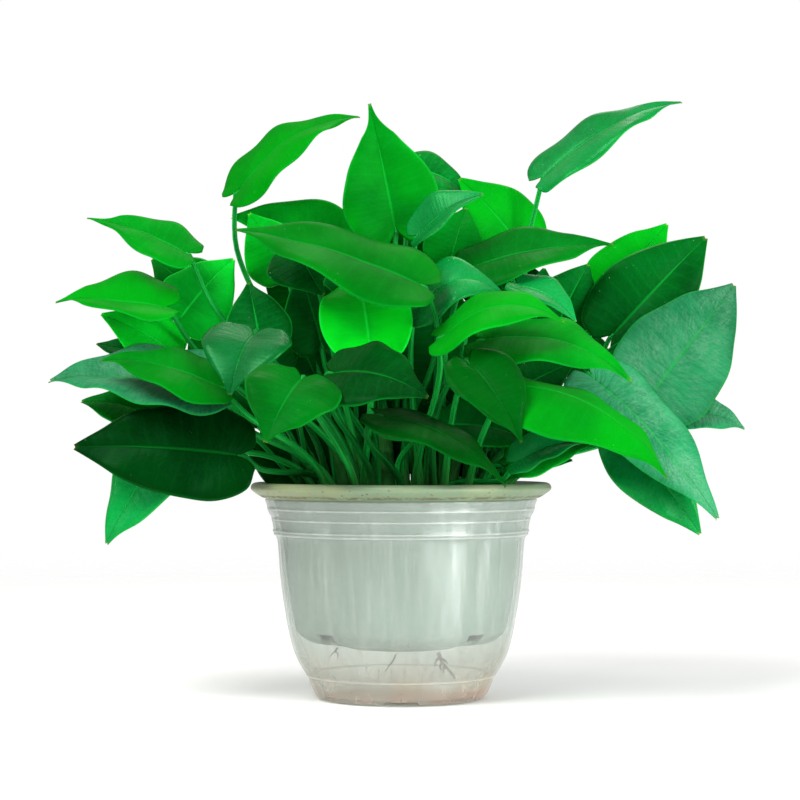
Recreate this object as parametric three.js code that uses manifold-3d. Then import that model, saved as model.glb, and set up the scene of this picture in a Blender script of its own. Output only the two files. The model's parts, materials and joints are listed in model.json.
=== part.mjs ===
// Potted pothos: a clear outer pot, a sage liner with a flared rim, soil, roots, short vine stems
// and heart-shaped leaves on long stalks. Millimetres, +Z up, the pot's axis is Z and its foot is z = 0.
import * as THREE from 'three';
import { mergeVertices } from 'three/addons/utils/BufferGeometryUtils.js';
import Module from 'manifold-3d';

// ---------- driving dimensions ----------
const potFacets = 36;              // sides round both pots
const footRadius = 50;             // flat disc the plant stands on
const footNotches = 4;             // shallow drain notches in the edge of the foot
const footNotch = { wide: 21, deep: 9, high: 2.4 };
const linerSlots = 4;              // drain slots through the liner's lower chamfer
const linerSlot = { wide: 13, deep: 16, high: 3.2, radius: 58, z: 36.4 };
const soilTop = 118;               // highest crumb of the soil
const soilBump = 2.2;              // how far the soil's surface dips
const touchGap = 0.3;              // clearance left between pieces that touch
const stalkBase = 2.6;             // stalk radius at the soil
const stalkEnd = 1.8;              // stalk radius under the blade
const bladeHalfThick = 1.0;        // blade thickness between midrib and margin
const bladeKeel = 1.8;             // blade thickness at the midrib
const notchSpan = 76;              // leaves longer than this get a notch no deeper than this one's
const stemRadius = 4;              // short vine stems between the stalks
const rootRadius = 0.7;

// Outer pot, closed profile of [radius, height]: out along the foot, up the wall, back down inside.
const outerPotProfile = [
  [0, 0], [footRadius, 0], [51.2, 1.8], [52.2, 3.8], [54.6, 9], [55.4, 12.4], [57, 14.4], [59.4, 18],
  [62.4, 23.4], [64.7, 28.8], [67.5, 39.6], [70.5, 57.6], [72.6, 75.6], [73.6, 92], [74.3, 95.6],
  [76, 97.6], [76.6, 102.6], [77.5, 108], [79.3, 110.2], [80.1, 114.6], [81.4, 117.6], [81.4, 118.5],
  [79.8, 118.5], [78.6, 115], [77.8, 111.4], [76, 108.9], [75, 102.8], [74.4, 98.4], [72.7, 96.2],
  [71.9, 90], [71, 75.6], [68.9, 57.8], [65.9, 40], [63.1, 29.4], [60.9, 24.2], [58, 19.2],
  [55.4, 15.6], [53.7, 12.8], [53, 9.4], [50.4, 4], [49, 2.2], [0, 2.2],
];

// Liner pot: foot, chamfer, wall, then the thick flared rim that hangs on the outer pot's edge.
const linerProfile = [
  [0, 29], [34, 29], [36, 33.5], [54, 33.5], [57, 34.6], [62, 38.6], [63.4, 42.6], [66.6, 60],
  [69, 78], [70.2, 92], [72.4, 106], [74, 113], [76.6, 117.4], [79.4, 118.8], [82.2, 118.9],
  [85.2, 120.6], [87.8, 122.4], [90, 124.2], [90, 126.2], [88.6, 127.9], [86, 128.4], [83.6, 127.4],
  [81.6, 124.6], [79, 121], [75, 117.8], [72.2, 113.4], [70.4, 106], [68.2, 92], [67, 78],
  [64.6, 60], [61.4, 43.2], [60, 40.6], [56, 36.2], [37.6, 36], [33, 31.6], [0, 31.6],
];

// Soil plug inside the liner: its sides, from the middle of the underside out and up.
const soilProfile = [
  [0, 32], [32.6, 32], [37, 36.5], [55.7, 36.7], [59.5, 40.8], [60.9, 43.4], [64.1, 60], [66.5, 78],
  [67.7, 92], [69.8, 106], [71.2, 112],
];

// Blade outline, one row a vein: [start along the midrib, end along the leaf, end across it], in shares of
// the leaf's length and half width. The first row is the edge of the notch where the stalk comes in.
const veins = [
  [0, -0.13, 0.26], [0.04, -0.08, 0.7], [0.12, 0.1, 0.97], [0.24, 0.28, 1],
  [0.4, 0.47, 0.86], [0.58, 0.66, 0.6], [0.78, 0.84, 0.28],
];
const acrossSteps = [-1, -0.5, 0, 0.5, 1];
const stalkSteps = [0, 0.18, 0.4, 0.62, 0.83, 1];

const bright = 0x14a01e;
const fresh = 0x12912a;
const middle = 0x117d24;
const deep = 0x0b5a1e;
const teal = 0x1a7d4e;
const pale = 0x58a878;

// Leaves: where stalk and blade meet, the tip, the way the upper face looks, the width, then
// arch: how far the midrib bows towards the face, as a share of the length
// fold: how far each half rises to its margin; cup: how far the margins turn back down
// twist: radians the blade turns along its length; sweep: sideways curve of the midrib
// taper: how much the half nearer the tip is drawn in
const leafList = [
  // crown
  ['leaf_01', [-100, 30, 307], [-23, 42, 356], [-0.42, -0.66, 0.66], 48, { arch: 0.14, taper: 0.1 }, bright],
  ['leaf_02', [-4, 14, 282], [-20, 4, 359], [0.05, -1, 0.12], 58,
    { arch: 0.05, fold: 0.4, cup: 0.15, taper: 1.0 }, fresh],
  ['leaf_03', [-2, 42, 322], [44, 46, 300], [0.15, -0.75, 0.7], 36, { arch: 0.2 }, deep],
  ['leaf_04', [76, 32, 271], [35, 22, 315], [0.12, -0.95, 0.3], 54, { arch: 0.06, fold: 0.15 }, bright],
  ['leaf_05', [13, -12, 273], [53, -22, 297], [-0.35, -0.65, 0.68], 34, { arch: 0.1, fold: 0.5 }, teal],
  ['leaf_06', [41, -14, 256], [128, -24, 270], [0.05, -0.66, 0.76], 46, { arch: 0.06, taper: 0.35 }, middle],
  ['leaf_07', [88, 16, 315], [175, 26, 363], [-0.4, -0.64, 0.66], 38, { arch: 0.09, taper: 0.2 }, teal],
  ['leaf_08', [12, -36, 250], [-101, -26, 285], [0.25, -0.62, 0.75], 64, { arch: 0.04 }, fresh],
  ['leaf_09', [-70, 10, 256], [-92, 0, 291], [-0.1, -0.96, 0.3], 40, { fold: 0.15 }, fresh],
  ['leaf_10', [-61, -22, 270], [-46, -38, 240], [-0.45, -0.85, 0.1], 42, { arch: 0.12, fold: 0.7 }, deep],
  // left side
  ['leaf_11', [-130, 0, 266], [-193, 10, 289], [-0.1, -0.6, 0.8], 38,
    { arch: 0.01, sweep: 0.05, taper: 0.8 }, fresh],
  ['leaf_12', [-132, -8, 226], [-100, 6, 264], [0, -0.94, 0.35], 48, { fold: 0.2 }, middle],
  ['leaf_13', [-138, -46, 229], [-203, -50, 232], [-0.05, -0.52, 0.85], 56,
    { arch: 0.06, fold: 0.4, taper: 0.6 }, bright],
  ['leaf_14', [-134, -30, 206], [-177, -30, 229], [0.1, -0.86, 0.5], 36, { fold: 0.25 }, fresh],
  ['leaf_15', [-103, -60, 186], [-175, -56, 202], [-0.1, -0.58, 0.82], 48, { arch: 0.08 }, fresh],
  ['leaf_16', [-103, -52, 178], [-206, -40, 187], [-0.08, -0.56, 0.82], 58,
    { arch: 0.07, fold: 0.34, taper: -0.4 }, pale],
  ['leaf_17', [-94, -58, 145], [-192, -56, 150], [0, -0.96, 0.26], 57,
    { fold: 0.12, cup: 0.1, taper: -0.5 }, deep],
  ['leaf_18', [-133, -42, 155], [-173, -38, 91], [-0.25, -0.9, 0.3], 44, { arch: 0.06 }, teal],
  ['leaf_19', [-82, -34, 208], [-90, -30, 247], [0.1, -0.92, 0.35], 40, { fold: 0.3 }, deep],
  ['leaf_20', [-84, -70, 213], [-96, -98, 176], [-0.1, -0.8, 0.6], 52, { arch: 0.14, fold: 0.3 }, teal],
  ['leaf_21', [-56, -86, 190], [-75, -120, 153], [0.1, -0.68, 0.72], 54, { arch: 0.1, fold: 0.25 }, middle],
  ['leaf_22', [-118, 6, 238], [-152, 10, 264], [0, -0.94, 0.35], 42, { fold: 0.2 }, middle],
  // middle
  ['leaf_23', [-17, -66, 206], [-27, -12, 243], [0.02, -0.66, 0.75], 54, { arch: 0.24, cup: 0.1 }, bright],
  ['leaf_24', [-42, -76, 192], [14, -95, 177], [0.12, -0.76, 0.64], 56, { arch: 0.14, fold: 0.1 }, deep],
  ['leaf_25', [-10, -88, 168], [61, -105, 127], [0.25, -0.42, 0.87], 44, { arch: 0.12, fold: 0.15 }, middle],
  ['leaf_26', [10, -42, 236], [60, -50, 243], [-0.1, -0.68, 0.73], 46, { arch: 0.3 }, teal],
  ['leaf_27', [25, -72, 213], [95, -86, 219], [-0.08, -0.58, 0.81], 50, { arch: 0.22, fold: 0.15 }, bright],
  ['leaf_28', [36, -88, 196], [65, -108, 150], [0.2, -0.85, 0.5], 42,
    { arch: 0.1, fold: 0.45, taper: 0.3 }, middle],
  ['leaf_29', [26, -32, 164], [82, -40, 150], [0.1, -0.8, 0.6], 38, { arch: 0.12 }, deep],
  ['leaf_30', [68, -56, 243], [101, -70, 220], [0.3, -0.6, 0.74], 30, { arch: 0.12, fold: 0.4 }, teal],
  // right side
  ['leaf_31', [48, -66, 212], [132, -92, 186], [0.16, -0.68, 0.72], 52, { arch: 0.16, taper: 0.2 }, fresh],
  ['leaf_32', [64, -84, 184], [149, -110, 130], [0.3, -0.54, 0.78], 60,
    { arch: 0.14, fold: -0.2, cup: 0.25 }, bright],
  ['leaf_33', [108, -58, 191], [180, -74, 108], [0.35, -0.84, 0.4], 54, { arch: 0.06, fold: 0.1 }, pale],
  ['leaf_34', [130, -44, 156], [174, -50, 97], [-0.1, -0.95, 0.25], 44, { fold: 0.12 }, teal],
  ['leaf_35', [145, -34, 180], [199, -16, 249], [0.1, -0.96, 0.2], 66,
    { arch: 0.03, fold: 0.1, taper: -0.3 }, pale],
  ['leaf_36', [127, -4, 217], [186, 6, 278], [0, -0.96, 0.28], 58,
    { arch: 0.05, fold: 0.15, taper: -0.4 }, deep],
  ['leaf_37', [126, 26, 240], [165, 30, 288], [0.08, -0.94, 0.34], 46, { fold: 0.15 }, bright],
  ['leaf_38', [160, -10, 172], [206, -12, 160], [-0.1, -0.66, 0.75], 34, { arch: 0.1 }, pale],
  ['leaf_39', [130, -30, 186], [158, -20, 219], [0.05, -0.93, 0.38], 40, { fold: 0.25 }, deep],
  ['leaf_40', [68, -50, 140], [110, -58, 153], [0, -0.66, 0.75], 28, { arch: 0.1, fold: 0.5 }, teal],
  // back
  ['leaf_41', [-50, 50, 272], [-74, 88, 214], [-0.3, 0.85, 0.42], 56, { arch: 0.14 }, fresh],
  ['leaf_42', [4, 54, 288], [12, 94, 226], [0, 0.88, 0.46], 58, { arch: 0.14 }, bright],
  ['leaf_43', [54, 54, 262], [82, 92, 204], [0.3, 0.85, 0.42], 56, { arch: 0.14 }, middle],
  ['leaf_44', [-26, 74, 238], [-40, 116, 178], [-0.2, 0.88, 0.42], 56, { arch: 0.14 }, middle],
  ['leaf_45', [32, 76, 234], [50, 118, 174], [0.25, 0.86, 0.42], 56, { arch: 0.14 }, fresh],
  ['leaf_46', [-94, 46, 226], [-132, 84, 176], [-0.5, 0.7, 0.5], 54, { arch: 0.14 }, bright],
  ['leaf_47', [90, 48, 220], [130, 84, 170], [0.5, 0.7, 0.5], 54, { arch: 0.14 }, fresh],
  ['leaf_48', [-54, 80, 180], [-88, 122, 136], [-0.4, 0.74, 0.54], 52, { arch: 0.12 }, middle],
  ['leaf_49', [60, 80, 180], [98, 122, 138], [0.4, 0.74, 0.54], 52, { arch: 0.12 }, deep],
  ['leaf_50', [-48, 2, 212], [-62, -6, 258], [0.1, -0.93, 0.3], 42, { arch: 0.06, fold: 0.3 }, deep],
];

// Short vine stems: foot on the soil, then the way each leans and its height.
const stemList = [
  ['stem_1', [-34, 6], [-0.3, 0.05], 46],
  ['stem_2', [-8, -26], [-0.05, -0.22], 40],
  ['stem_3', [30, -10], [0.25, -0.1], 50],
  ['stem_4', [12, 30], [0.1, 0.25], 54],
];

// Roots that reach the reservoir under the liner.
const rootList = [
  ['root_1', [[-37, -41.5, 33], [-38, -42.5, 31], [-36.6, -42, 29.4], [-36.8, -43, 27]], 1],
  ['root_2', [[-3, -31, 28.4], [-4.4, -31.6, 25], [-7, -31, 21.6], [-9, -32, 18.4]], 1],
  ['root_3', [[22, -22, 28.4], [23.6, -23, 24.4], [26, -22.6, 20.6], [30, -24, 16], [32, -23, 13]], 1.5],
];

// ---------- helpers ----------
const point = ([x, y, z]) => new THREE.Vector3(x, y, z);

function seededRandom(seed) {
  let state = seed;
  return () => {
    state = (Math.imul(state, 1664525) + 1013904223) >>> 0;
    return state / 4294967296;
  };
}

function paint(hex, roughness, opacity = 1) {
  const material = new THREE.MeshStandardMaterial({ color: hex, roughness, metalness: 0 });
  material.opacity = opacity;
  material.transparent = opacity < 1;
  return material;
}

function meshFrom(points, faces) {
  const geometry = new THREE.BufferGeometry();
  const flat = points.flatMap((p) => [p.x, p.y, p.z]);
  geometry.setAttribute('position', new THREE.Float32BufferAttribute(flat, 3));
  geometry.setIndex(faces.flat());
  geometry.computeVertexNormals();
  return geometry;
}

// Turns a closed profile round Z. Profile points on the axis become single points.
function spin(profile, facets) {
  const points = [];
  const rows = profile.map(([radius, z]) => {
    if (radius === 0) {
      points.push(point([0, 0, z]));
      return Array(facets).fill(points.length - 1);
    }
    return Array.from({ length: facets }, (_, k) => {
      const turn = (k / facets) * 2 * Math.PI;
      points.push(point([radius * Math.cos(turn), radius * Math.sin(turn), z]));
      return points.length - 1;
    });
  });
  const faces = [];
  for (let i = 0; i + 1 < rows.length; i += 1) {
    for (let k = 0; k < facets; k += 1) {
      const next = (k + 1) % facets;
      const [a, b, c, d] = [rows[i][k], rows[i][next], rows[i + 1][next], rows[i + 1][k]];
      if (a !== b) faces.push([a, b, c]);
      if (c !== d) faces.push([a, c, d]);
    }
  }
  return meshFrom(points, faces);
}

// A loft through rings of equal size, closed by flat fans or by one tip point. The second half of each
// ring is split along the other diagonal, so a blade's underside keeps step with its upper side.
function loft(rings, tip) {
  const size = rings[0].length;
  const points = rings.flat();
  const faces = [];
  for (let i = 0; i + 1 < rings.length; i += 1) {
    for (let k = 0; k < size; k += 1) {
      const [a, b] = [i * size + k, i * size + ((k + 1) % size)];
      if (k < size / 2) faces.push([a, b, b + size], [a, b + size, a + size]);
      else faces.push([a, b, a + size], [b, b + size, a + size]);
    }
  }
  const last = (rings.length - 1) * size;
  for (let k = 1; k + 1 < size; k += 1) faces.push([0, k + 1, k]);
  if (tip) points.push(tip);
  for (let k = 0; k < size; k += 1) {
    if (tip) faces.push([last + k, last + ((k + 1) % size), points.length - 1]);
    else if (k > 0 && k + 1 < size) faces.push([last, last + k, last + k + 1]);
  }
  return meshFrom(points, faces);
}

const wasm = await Module();
wasm.setup();

function solidOf(source) {
  const geometry = source.clone();
  geometry.deleteAttribute('normal');
  geometry.deleteAttribute('uv');
  const merged = mergeVertices(geometry, 1e-3);
  return new wasm.Manifold(new wasm.Mesh({
    numProp: 3,
    vertProperties: new Float32Array(merged.attributes.position.array),
    triVerts: new Uint32Array(merged.index.array),
  }));
}

function geometryOf(solid) {
  const mesh = solid.getMesh();
  const geometry = new THREE.BufferGeometry();
  geometry.setAttribute('position', new THREE.BufferAttribute(new Float32Array(mesh.vertProperties), 3));
  geometry.setIndex(new THREE.BufferAttribute(new Uint32Array(mesh.triVerts), 1));
  geometry.computeVertexNormals();
  return geometry;
}

// A box cutter centred at a radius and height, turned round Z.
function cutter({ wide, deep: depth, high }, radius, z, turn) {
  const box = new THREE.BoxGeometry(depth, wide, high);
  box.translate(radius, 0, z);
  box.rotateZ(turn);
  return solidOf(box);
}

// ---------- pot pieces ----------
function makeOuterPot() {
  let pot = solidOf(spin(outerPotProfile, potFacets));
  for (let k = 0; k < footNotches; k += 1) {
    const turn = (k / footNotches - 0.25) * 2 * Math.PI;
    pot = pot.subtract(cutter(footNotch, footRadius + 1, 0, turn));
  }
  return geometryOf(pot);
}

function makeLiner() {
  let liner = solidOf(spin(linerProfile, potFacets));
  for (let k = 0; k < linerSlots; k += 1) {
    const turn = (k / linerSlots + 0.125) * 2 * Math.PI;
    liner = liner.subtract(cutter(linerSlot, linerSlot.radius, linerSlot.z, turn));
  }
  return geometryOf(liner);
}

function makeSoil() {
  const crumbs = seededRandom(11);
  const topRadii = [66, 52, 38, 24, 11];
  const profile = [...soilProfile, ...topRadii.map((r) => [r, soilTop - soilBump / 2]), [0, soilTop - 1]];
  const geometry = spin(profile, 24);
  const place = geometry.attributes.position;
  for (let i = 0; i < place.count; i += 1) {
    if (place.getZ(i) > soilTop - soilBump) place.setZ(i, soilTop - crumbs() * soilBump);
  }
  return geometry;
}

// ---------- tubes ----------
function curveRings(curve, radii, sides) {
  const steps = radii.length - 1;
  const frames = curve.computeFrenetFrames(steps, false);
  return radii.map((radius, i) => {
    const centre = curve.getPointAt(i / steps);
    return Array.from({ length: sides }, (_, k) => {
      const turn = (k / sides) * 2 * Math.PI;
      return centre.clone()
        .addScaledVector(frames.normals[i], radius * Math.cos(turn))
        .addScaledVector(frames.binormals[i], radius * Math.sin(turn));
    });
  });
}

function stemCurve([, foot, lean, height]) {
  const base = point([...foot, soilTop + touchGap + 1]);
  const bent = (share) => base.clone().add(point([
    lean[0] * height * share * share, lean[1] * height * share * share, height * share,
  ]));
  return new THREE.CatmullRomCurve3([bent(0), bent(0.35), bent(0.7), bent(1)]);
}

// A stem with a swollen node part way up and a rounded growing end.
const makeStem = (entry) => loft(curveRings(
  stemCurve(entry), [1.05, 1, 0.95, 1.18, 0.95, 0.9, 1.1, 0.5].map((share) => share * stemRadius), 8,
));

const makeRoot = ([, path, thick]) => loft(curveRings(
  new THREE.CatmullRomCurve3(path.map(point)),
  [1, 0.95, 0.85, 0.8, 0.7, 0.6, 0.45].map((share) => share * thick * rootRadius), 6,
));

// ---------- leaves ----------
// The leaf's own axes: along the chord, across to its right, and up out of its face.
function leafAxes(base, tip, face) {
  const along = tip.clone().sub(base).normalize();
  const up = face.clone().addScaledVector(along, -face.dot(along)).normalize();
  return { along, up, across: along.clone().cross(up) };
}

function bladePoint(leaf, start, end, reach, share) {
  const { axes, length, half, shape } = leaf;
  const near = THREE.MathUtils.lerp(start, end, Math.abs(share));
  const s = near > 0 ? near : near * Math.min(1, notchSpan / length);
  const out = share * reach * half * (1 - shape.taper * Math.max(0, end - 0.4));
  const turn = shape.twist * (s - 0.3);
  const side = axes.across.clone().multiplyScalar(Math.cos(turn)).addScaledVector(axes.up, Math.sin(turn));
  const lift = axes.up.clone().multiplyScalar(Math.cos(turn)).addScaledVector(axes.across, -Math.sin(turn));
  const bow = s > 0 ? 4 * s * (1 - s) : 2 * s;
  const rise = shape.fold * Math.abs(out) - (shape.cup * out * out) / half;
  const top = leaf.base.clone()
    .addScaledVector(axes.along, s * length)
    .addScaledVector(axes.across, shape.sweep * length * bow)
    .addScaledVector(axes.up, shape.arch * length * bow)
    .addScaledVector(side, out)
    .addScaledVector(lift, rise);
  return { top, lift };
}

// One blade ring: left margin, upper side to the right margin, then back along the underside.
function bladeRing(leaf, [start, end, reach]) {
  const spots = acrossSteps.map((share) => bladePoint(leaf, start, end, reach, share));
  const under = (k, thick) => spots[k].top.clone().addScaledVector(spots[k].lift, -thick);
  return [
    ...spots.map((spot) => spot.top),
    under(3, bladeHalfThick), under(2, bladeKeel), under(1, bladeHalfThick),
  ];
}

function stalkPath(leaf) {
  const { axes } = leaf;
  const end = leaf.base.clone().addScaledVector(axes.along, -4.2).addScaledVector(axes.up, -4);
  const root = point([leaf.root[0], leaf.root[1], soilTop + touchGap]);
  const span = end.distanceTo(root);
  const low = root.clone().add(point([
    (end.x - root.x) * 0.12 + leaf.bend[0], (end.y - root.y) * 0.12 + leaf.bend[1], span * 0.42,
  ]));
  const arrive = axes.along.clone().multiplyScalar(0.45).addScaledVector(axes.up, 0.45)
    .add(point([0, 0, 0.7])).normalize();
  const high = end.clone().addScaledVector(arrive, -span * 0.34)
    .add(point([leaf.bend[2], leaf.bend[3], 0]));
  return new THREE.CubicBezierCurve3(root, low, high, end);
}

// Rings along the stalk. Their sides keep step with the blade's from the top down.
function stalkRings(leaf) {
  const curve = stalkPath(leaf);
  const rings = [];
  let across = leaf.axes.across.clone();
  for (const step of [...stalkSteps].reverse()) {
    const along = step === 1
      ? leaf.axes.along.clone().multiplyScalar(4.2).addScaledVector(leaf.axes.up, 4).normalize()
      : curve.getTangent(step);
    across = across.clone().addScaledVector(along, -across.dot(along)).normalize();
    const up = across.clone().cross(along);
    const radius = THREE.MathUtils.lerp(stalkBase, stalkEnd, step);
    const centre = curve.getPoint(step);
    const ring = Array.from({ length: 8 }, (_, k) => {
      const turn = Math.PI - (k / 8) * 2 * Math.PI;
      return centre.clone()
        .addScaledVector(across, radius * Math.cos(turn))
        .addScaledVector(up, radius * Math.sin(turn));
    });
    if (step === 0) ring.forEach((p) => { p.z = soilTop + touchGap; });
    rings.unshift(ring);
  }
  return rings;
}

// The front view keeps its outline when a leaf slides along the line of sight from here.
const viewer = point([0, -1322, 154]);

function placeLeaf(entry, state) {
  const [name, base, tip, face, width, shape, colour] = entry;
  const scale = 1 + state.slide / (base[1] - viewer.y);
  const aside = point([state.shift[0], 0, state.shift[1]]);
  const slid = (p) => point(p).add(aside).sub(viewer).multiplyScalar(scale).add(viewer);
  const leaf = {
    name, colour, base: slid(base), tip: slid(tip), half: width / 2, root: state.root, bend: state.bend,
    shape: { arch: 0.08, fold: 0.22, cup: 0.2, twist: 0, sweep: 0, taper: 0, ...shape },
  };
  leaf.axes = leafAxes(leaf.base, leaf.tip, point(face));
  leaf.length = leaf.base.distanceTo(leaf.tip);
  leaf.blade = veins.map((vein) => bladeRing(leaf, vein));
  return leaf;
}

const makeLeaf = (leaf) => loft([...stalkRings(leaf), ...leaf.blade], leaf.tip);

// ---------- leaves eased apart until none touch ----------
const bladeStep = 3.6;
const stalkStep = 3.6;
const cell = 8;
const wanted = {
  bladeblade: 4.4, bladestalk: 4.9, stalkblade: 4.9, stalkstalk: 5.9, bladestem: 6.6, stalkstem: 7.9,
};

function bladeSamples(leaf) {
  const rows = [...leaf.blade.map((ring) => ring.slice(0, 5)), Array(5).fill(leaf.tip)];
  const found = [];
  for (let i = 0; i + 1 < rows.length; i += 1) {
    for (let k = 0; k < 4; k += 1) {
      const [a, b, c, d] = [rows[i][k], rows[i][k + 1], rows[i + 1][k + 1], rows[i + 1][k]];
      const wide = Math.max(1, Math.ceil(Math.max(a.distanceTo(b), c.distanceTo(d)) / bladeStep));
      const long = Math.max(1, Math.ceil(Math.max(a.distanceTo(d), b.distanceTo(c)) / bladeStep));
      for (let p = 0; p < wide; p += 1) {
        for (let q = 0; q < long; q += 1) {
          const near = a.clone().lerp(b, p / wide);
          found.push(near.lerp(d.clone().lerp(c, p / wide), q / long));
        }
      }
    }
  }
  return found;
}

function stalkSamples(curve, from = 0) {
  const knots = stalkSteps.map((step) => curve.getPoint(step));
  const found = [];
  for (let i = 0; i + 1 < knots.length; i += 1) {
    const parts = Math.ceil(knots[i].distanceTo(knots[i + 1]) / stalkStep);
    for (let p = 0; p < parts; p += 1) {
      const spot = knots[i].clone().lerp(knots[i + 1], p / parts);
      if (spot.z > from) found.push(spot);
    }
  }
  return found;
}

const cellOf = (p, dx = 0, dy = 0, dz = 0) => (
  (Math.floor(p.x / cell) + dx + 64) * 65536 + (Math.floor(p.y / cell) + dy + 64) * 256
  + Math.floor(p.z / cell) + dz + 8
);

class Crowd {
  constructor() {
    this.cells = new Map();
  }

  add(owner, samples) {
    for (const sample of samples) {
      const key = cellOf(sample.at);
      if (!this.cells.has(key)) this.cells.set(key, []);
      this.cells.get(key).push({ owner, ...sample });
    }
  }

  remove(owner, samples) {
    for (const sample of samples) {
      const key = cellOf(sample.at);
      this.cells.set(key, this.cells.get(key).filter((other) => other.owner !== owner));
    }
  }

  crush(owner, samples) {
    let sum = 0;
    for (const { at, kind } of samples) {
      for (let dx = -1; dx <= 1; dx += 1) {
        for (let dy = -1; dy <= 1; dy += 1) {
          for (let dz = -1; dz <= 1; dz += 1) {
            for (const other of this.cells.get(cellOf(at, dx, dy, dz)) ?? []) {
              if (other.owner !== owner) {
                sum += Math.max(0, wanted[kind + other.kind] - at.distanceTo(other.at)) ** 2;
              }
            }
          }
        }
      }
      sum += potCrush(at, kind);
    }
    return sum;
  }
}

// How badly a point of a leaf is inside the rim or the soil.
function potCrush({ x, y, z }, kind) {
  const radius = Math.hypot(x, y);
  const insideEdge = 69 + Math.max(0, z - 114) * 0.9 - (kind === 'stalk' ? 3 : 2);
  if (z < 132 && radius < 94 && radius > insideEdge) return 3;
  return kind === 'blade' && z < 123 && radius < 94 ? 3 : 0;
}

const samplesOf = (leaf) => [
  ...bladeSamples(leaf).map((at) => ({ at, kind: 'blade' })),
  ...stalkSamples(stalkPath(leaf)).map((at) => ({ at, kind: 'stalk' })),
];

// Planting spots on the soil in a sunflower spiral; every leaf takes the free one nearest below it.
function plantingSpots(count) {
  return Array.from({ length: count }, (_, k) => {
    const radius = 63 * Math.sqrt((k + 0.6) / count);
    return [radius * Math.cos(k * 2.39996), radius * Math.sin(k * 2.39996)];
  });
}

function takeSpots(entries) {
  const clearOfStems = ([x, y]) => stemList.every(([, foot]) => Math.hypot(x - foot[0], y - foot[1]) > 9);
  const free = plantingSpots(entries.length + 14).filter(clearOfStems);
  const order = entries.map((_, i) => i).sort((i, k) => (
    Math.hypot(entries[k][1][0], entries[k][1][1]) - Math.hypot(entries[i][1][0], entries[i][1][1])
  ));
  const roots = [];
  for (const i of order) {
    const [x, y] = entries[i][1];
    const reach = Math.min(1, 62 / (Math.hypot(x, y) * 0.55));
    const goal = [x * 0.55 * reach, y * 0.55 * reach];
    const away = (spot) => Math.hypot(spot[0] - goal[0], spot[1] - goal[1]);
    free.sort((a, b) => away(a) - away(b));
    roots[i] = free.shift();
  }
  return roots;
}

function strain(state) {
  const total = (list) => list.reduce((sum, b) => sum + Math.abs(b), 0);
  return 0.05 * Math.abs(state.slide) + 0.04 * total(state.bend) + 0.4 * total(state.shift);
}

function nudged(state, random, reach) {
  const swing = () => (random() + random() - 1) * reach;
  const within = (value, most) => THREE.MathUtils.clamp(value, -most, most);
  return {
    root: [state.root[0] + swing() * 0.04, state.root[1] + swing() * 0.04],
    slide: within(state.slide + swing(), 34),
    bend: state.bend.map((b) => within(b + swing(), 34)),
    shift: state.shift.map((b) => within(b + swing() * 0.15, 7)),
  };
}

function settle(entries) {
  const random = seededRandom(7);
  const roots = takeSpots(entries);
  const crowd = new Crowd();
  stemList.forEach((entry) => {
    const spots = stemCurve(entry).getSpacedPoints(14).map((at) => ({ at, kind: 'stem' }));
    crowd.add(entry[0], spots);
  });
  const states = entries.map((_, i) => ({ root: roots[i], slide: 0, bend: [0, 0, 0, 0], shift: [0, 0] }));
  const samples = entries.map((entry, i) => samplesOf(placeLeaf(entry, states[i])));
  samples.forEach((found, i) => crowd.add(i, found));
  for (let round = 0; round < 160; round += 1) {
    let worst = 0;
    entries.forEach((entry, i) => {
      let held = crowd.crush(i, samples[i]);
      if (held === 0) return;
      worst = Math.max(worst, held);
      let score = held + strain(states[i]);
      for (let attempt = 0; attempt < 14; attempt += 1) {
        const state = nudged(states[i], random, 6 + 24 * random());
        const found = samplesOf(placeLeaf(entry, state));
        held = crowd.crush(i, found);
        if (held + strain(state) < score) {
          crowd.remove(i, samples[i]);
          crowd.add(i, found);
          [states[i], samples[i], score] = [state, found, held + strain(state)];
        }
      }
    });
    if (worst === 0) break;
  }
  return states;
}

// ---------- assembly ----------
const plant = new THREE.Group();
plant.name = 'potted_pothos';

function addPiece(name, geometry, material) {
  const mesh = new THREE.Mesh(geometry, material);
  mesh.name = name;
  plant.add(mesh);
}

addPiece('outer_pot', makeOuterPot(), paint(0xd3dcd6, 0.12, 0.4));
addPiece('liner_pot', makeLiner(), paint(0xb0c2b4, 0.5));
addPiece('soil', makeSoil(), paint(0x3a2a1e, 0.95));
rootList.forEach((entry) => addPiece(entry[0], makeRoot(entry), paint(0x5b4a3c, 0.85)));
stemList.forEach((entry) => addPiece(entry[0], makeStem(entry), paint(0x3f8a35, 0.55)));
settle(leafList).forEach((state, i) => {
  const leaf = placeLeaf(leafList[i], state);
  addPiece(leaf.name, makeLeaf(leaf), paint(leaf.colour, 0.4));
});

export default plant;
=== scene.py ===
import json
import math
import random
import bpy
import numpy as np
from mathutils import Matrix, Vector, noise


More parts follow.
